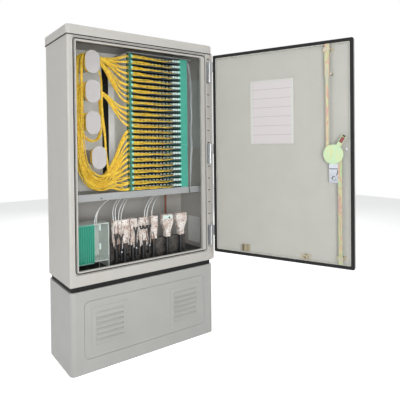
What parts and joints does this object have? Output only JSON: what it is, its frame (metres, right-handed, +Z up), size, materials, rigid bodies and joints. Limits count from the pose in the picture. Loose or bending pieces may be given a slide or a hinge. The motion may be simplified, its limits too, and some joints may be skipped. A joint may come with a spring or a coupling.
{
  "type": "outdoor fibre cross-connect cabinet",
  "caption": "Free-standing outdoor fibre cross-connect cabinet on a vented plinth, with one hinged door on a rod latch, swing-out adapter trays, cord spools and a splice bay.",
  "frame": {"origin": "centre of the plinth's footprint, on the ground", "axes": "+X to the right seen from the front, -Y out of the front, +Z up; the door stands open at rest"},
  "size_m": [1.0247, 0.9438, 1.45],
  "materials": {
    "shell": "moulded composite, fine satin",
    "plinth_shell": "moulded composite, fine satin",
    "seal": "soft matt",
    "teal": "moulded, low gloss",
    "spool": "moulded, semi-translucent",
    "beige": "moulded",
    "black_plastic": "moulded",
    "black_metal": "powder coat",
    "grey_metal": "powder coat",
    "zinc": "yellow zinc plate",
    "steel": "plain",
    "chrome": "cast and plated",
    "card": "printed card in a clear sleeve",
    "patch_cord": "jacketed optical cord",
    "loose_tube": "soft tube"
  },
  "bodies": {
    "cabinet": {"plinth": "plinth_shell", "plinth_front_cover": "plinth_shell", "plinth_seal": "seal", "left_side_panel": "shell", "right_side_panel": "shell", "back_panel": "shell", "roof": "shell", "frame_post_left": "shell", "frame_post_right": "shell", "frame_header": "shell", "frame_sill": "shell", "floor_plate": "black_metal", "rack_back_plate": "grey_metal", "mid_shelf": "grey_metal", "shelf_bracket": "grey_metal", "tray_rack": "grey_metal", "winding_spools": "spool", "splice_box": "teal", "splice_cassettes": "teal", "clamp_rail": "black_metal", "cable_fixings": "beige", "cable_glands": "black_plastic", "patch_cords": "patch_cord", "loose_tubes": "loose_tube", "hinge_fixed_leaves": "steel"},
    "door": {"hinge_moving_leaves": "steel", "door_panel": "shell", "door_seal": "seal", "record_card": "card", "door_fittings": "zinc", "lock_body": "chrome"},
    "latch": {"latch_disc": "zinc", "handle_lever": "black_plastic"},
    "upper_rod": {"upper_latch_rod": "zinc"},
    "lower_rod": {"lower_latch_rod": "zinc"},
    "lock_cam": {"lock_cam": "chrome"},
    "tray_01": {"tray_01": "teal"},
    "tray_02": {"tray_02": "teal"},
    "tray_03": {"tray_03": "teal"},
    "tray_04": {"tray_04": "teal"},
    "tray_05": {"tray_05": "teal"},
    "tray_06": {"tray_06": "teal"},
    "tray_07": {"tray_07": "teal"},
    "tray_08": {"tray_08": "teal"},
    "tray_09": {"tray_09": "teal"},
    "tray_10": {"tray_10": "teal"},
    "tray_11": {"tray_11": "teal"},
    "tray_12": {"tray_12": "teal"},
    "tray_13": {"tray_13": "teal"},
    "tray_14": {"tray_14": "teal"},
    "tray_15": {"tray_15": "teal"},
    "tray_16": {"tray_16": "teal"},
    "tray_17": {"tray_17": "teal"},
    "tray_18": {"tray_18": "teal"},
    "tray_19": {"tray_19": "teal"},
    "tray_20": {"tray_20": "teal"},
    "tray_21": {"tray_21": "teal"},
    "tray_22": {"tray_22": "teal"},
    "tray_23": {"tray_23": "teal"},
    "tray_24": {"tray_24": "teal"}
  },
  "joints": [
    {"name": "door_hinge", "type": "hinge", "parent": "cabinet", "child": "door", "pos_m": [0.356, -0.15, 0.903], "axis": [0, 0, 1], "range_deg": [-112.3, 20]},
    {"name": "latch_turn", "type": "hinge", "parent": "door", "child": "latch", "pos_m": [0.56723, -0.7296, 0.9044], "axis": [0.9252, 0.3795, 0], "range_deg": [0, 60]},
    {"name": "upper_rod_slide", "type": "slide", "parent": "door", "child": "upper_rod", "axis": [0, 0, 1], "range_m": [0, 0.0235]},
    {"name": "lower_rod_slide", "type": "slide", "parent": "door", "child": "lower_rod", "axis": [0, 0, -1], "range_m": [0, 0.0235]},
    {"name": "lock_cam_turn", "type": "hinge", "parent": "door", "child": "lock_cam", "pos_m": [0.58666, -0.72163, 0.798], "axis": [-0.9252, -0.3795, 0], "range_deg": [0, 90]},
    {"name": "tray_01_pivot", "type": "hinge", "parent": "cabinet", "child": "tray_01", "pos_m": [-0.056, -0.086, 1.3616], "axis": [0, 0, -1], "range_deg": [0, 60]},
    {"name": "tray_02_pivot", "type": "hinge", "parent": "cabinet", "child": "tray_02", "pos_m": [-0.056, -0.086, 1.3352], "axis": [0, 0, -1], "range_deg": [0, 60]},
    {"name": "tray_03_pivot", "type": "hinge", "parent": "cabinet", "child": "tray_03", "pos_m": [-0.056, -0.086, 1.3088], "axis": [0, 0, -1], "range_deg": [0, 60]},
    {"name": "tray_04_pivot", "type": "hinge", "parent": "cabinet", "child": "tray_04", "pos_m": [-0.056, -0.086, 1.2824], "axis": [0, 0, -1], "range_deg": [0, 60]},
    {"name": "tray_05_pivot", "type": "hinge", "parent": "cabinet", "child": "tray_05", "pos_m": [-0.056, -0.086, 1.256], "axis": [0, 0, -1], "range_deg": [0, 60]},
    {"name": "tray_06_pivot", "type": "hinge", "parent": "cabinet", "child": "tray_06", "pos_m": [-0.056, -0.086, 1.2296], "axis": [0, 0, -1], "range_deg": [0, 60]},
    {"name": "tray_07_pivot", "type": "hinge", "parent": "cabinet", "child": "tray_07", "pos_m": [-0.056, -0.086, 1.2032], "axis": [0, 0, -1], "range_deg": [0, 60]},
    {"name": "tray_08_pivot", "type": "hinge", "parent": "cabinet", "child": "tray_08", "pos_m": [-0.056, -0.086, 1.1768], "axis": [0, 0, -1], "range_deg": [0, 60]},
    {"name": "tray_09_pivot", "type": "hinge", "parent": "cabinet", "child": "tray_09", "pos_m": [-0.056, -0.086, 1.1504], "axis": [0, 0, -1], "range_deg": [0, 60]},
    {"name": "tray_10_pivot", "type": "hinge", "parent": "cabinet", "child": "tray_10", "pos_m": [-0.056, -0.086, 1.124], "axis": [0, 0, -1], "range_deg": [0, 60]},
    {"name": "tray_11_pivot", "type": "hinge", "parent": "cabinet", "child": "tray_11", "pos_m": [-0.056, -0.086, 1.0976], "axis": [0, 0, -1], "range_deg": [0, 60]},
    {"name": "tray_12_pivot", "type": "hinge", "parent": "cabinet", "child": "tray_12", "pos_m": [-0.056, -0.086, 1.0712], "axis": [0, 0, -1], "range_deg": [0, 60]},
    {"name": "tray_13_pivot", "type": "hinge", "parent": "cabinet", "child": "tray_13", "pos_m": [-0.056, -0.086, 1.0448], "axis": [0, 0, -1], "range_deg": [0, 60]},
    {"name": "tray_14_pivot", "type": "hinge", "parent": "cabinet", "child": "tray_14", "pos_m": [-0.056, -0.086, 1.0184], "axis": [0, 0, -1], "range_deg": [0, 60]},
    {"name": "tray_15_pivot", "type": "hinge", "parent": "cabinet", "child": "tray_15", "pos_m": [-0.056, -0.086, 0.992], "axis": [0, 0, -1], "range_deg": [0, 60]},
    {"name": "tray_16_pivot", "type": "hinge", "parent": "cabinet", "child": "tray_16", "pos_m": [-0.056, -0.086, 0.9656], "axis": [0, 0, -1], "range_deg": [0, 60]},
    {"name": "tray_17_pivot", "type": "hinge", "parent": "cabinet", "child": "tray_17", "pos_m": [-0.056, -0.086, 0.9392], "axis": [0, 0, -1], "range_deg": [0, 60]},
    {"name": "tray_18_pivot", "type": "hinge", "parent": "cabinet", "child": "tray_18", "pos_m": [-0.056, -0.086, 0.9128], "axis": [0, 0, -1], "range_deg": [0, 60]},
    {"name": "tray_19_pivot", "type": "hinge", "parent": "cabinet", "child": "tray_19", "pos_m": [-0.056, -0.086, 0.8864], "axis": [0, 0, -1], "range_deg": [0, 60]},
    {"name": "tray_20_pivot", "type": "hinge", "parent": "cabinet", "child": "tray_20", "pos_m": [-0.056, -0.086, 0.86], "axis": [0, 0, -1], "range_deg": [0, 60]},
    {"name": "tray_21_pivot", "type": "hinge", "parent": "cabinet", "child": "tray_21", "pos_m": [-0.056, -0.086, 0.8336], "axis": [0, 0, -1], "range_deg": [0, 60]},
    {"name": "tray_22_pivot", "type": "hinge", "parent": "cabinet", "child": "tray_22", "pos_m": [-0.056, -0.086, 0.8072], "axis": [0, 0, -1], "range_deg": [0, 60]},
    {"name": "tray_23_pivot", "type": "hinge", "parent": "cabinet", "child": "tray_23", "pos_m": [-0.056, -0.086, 0.7808], "axis": [0, 0, -1], "range_deg": [0, 60]},
    {"name": "tray_24_pivot", "type": "hinge", "parent": "cabinet", "child": "tray_24", "pos_m": [-0.056, -0.086, 0.7544], "axis": [0, 0, -1], "range_deg": [0, 60]}
  ],
  "couplings": [
    {"joint": "upper_rod_slide", "follows": "latch_turn", "m_per_rad": 0.0222},
    {"joint": "lower_rod_slide", "follows": "latch_turn", "m_per_rad": 0.0222}
  ]
}
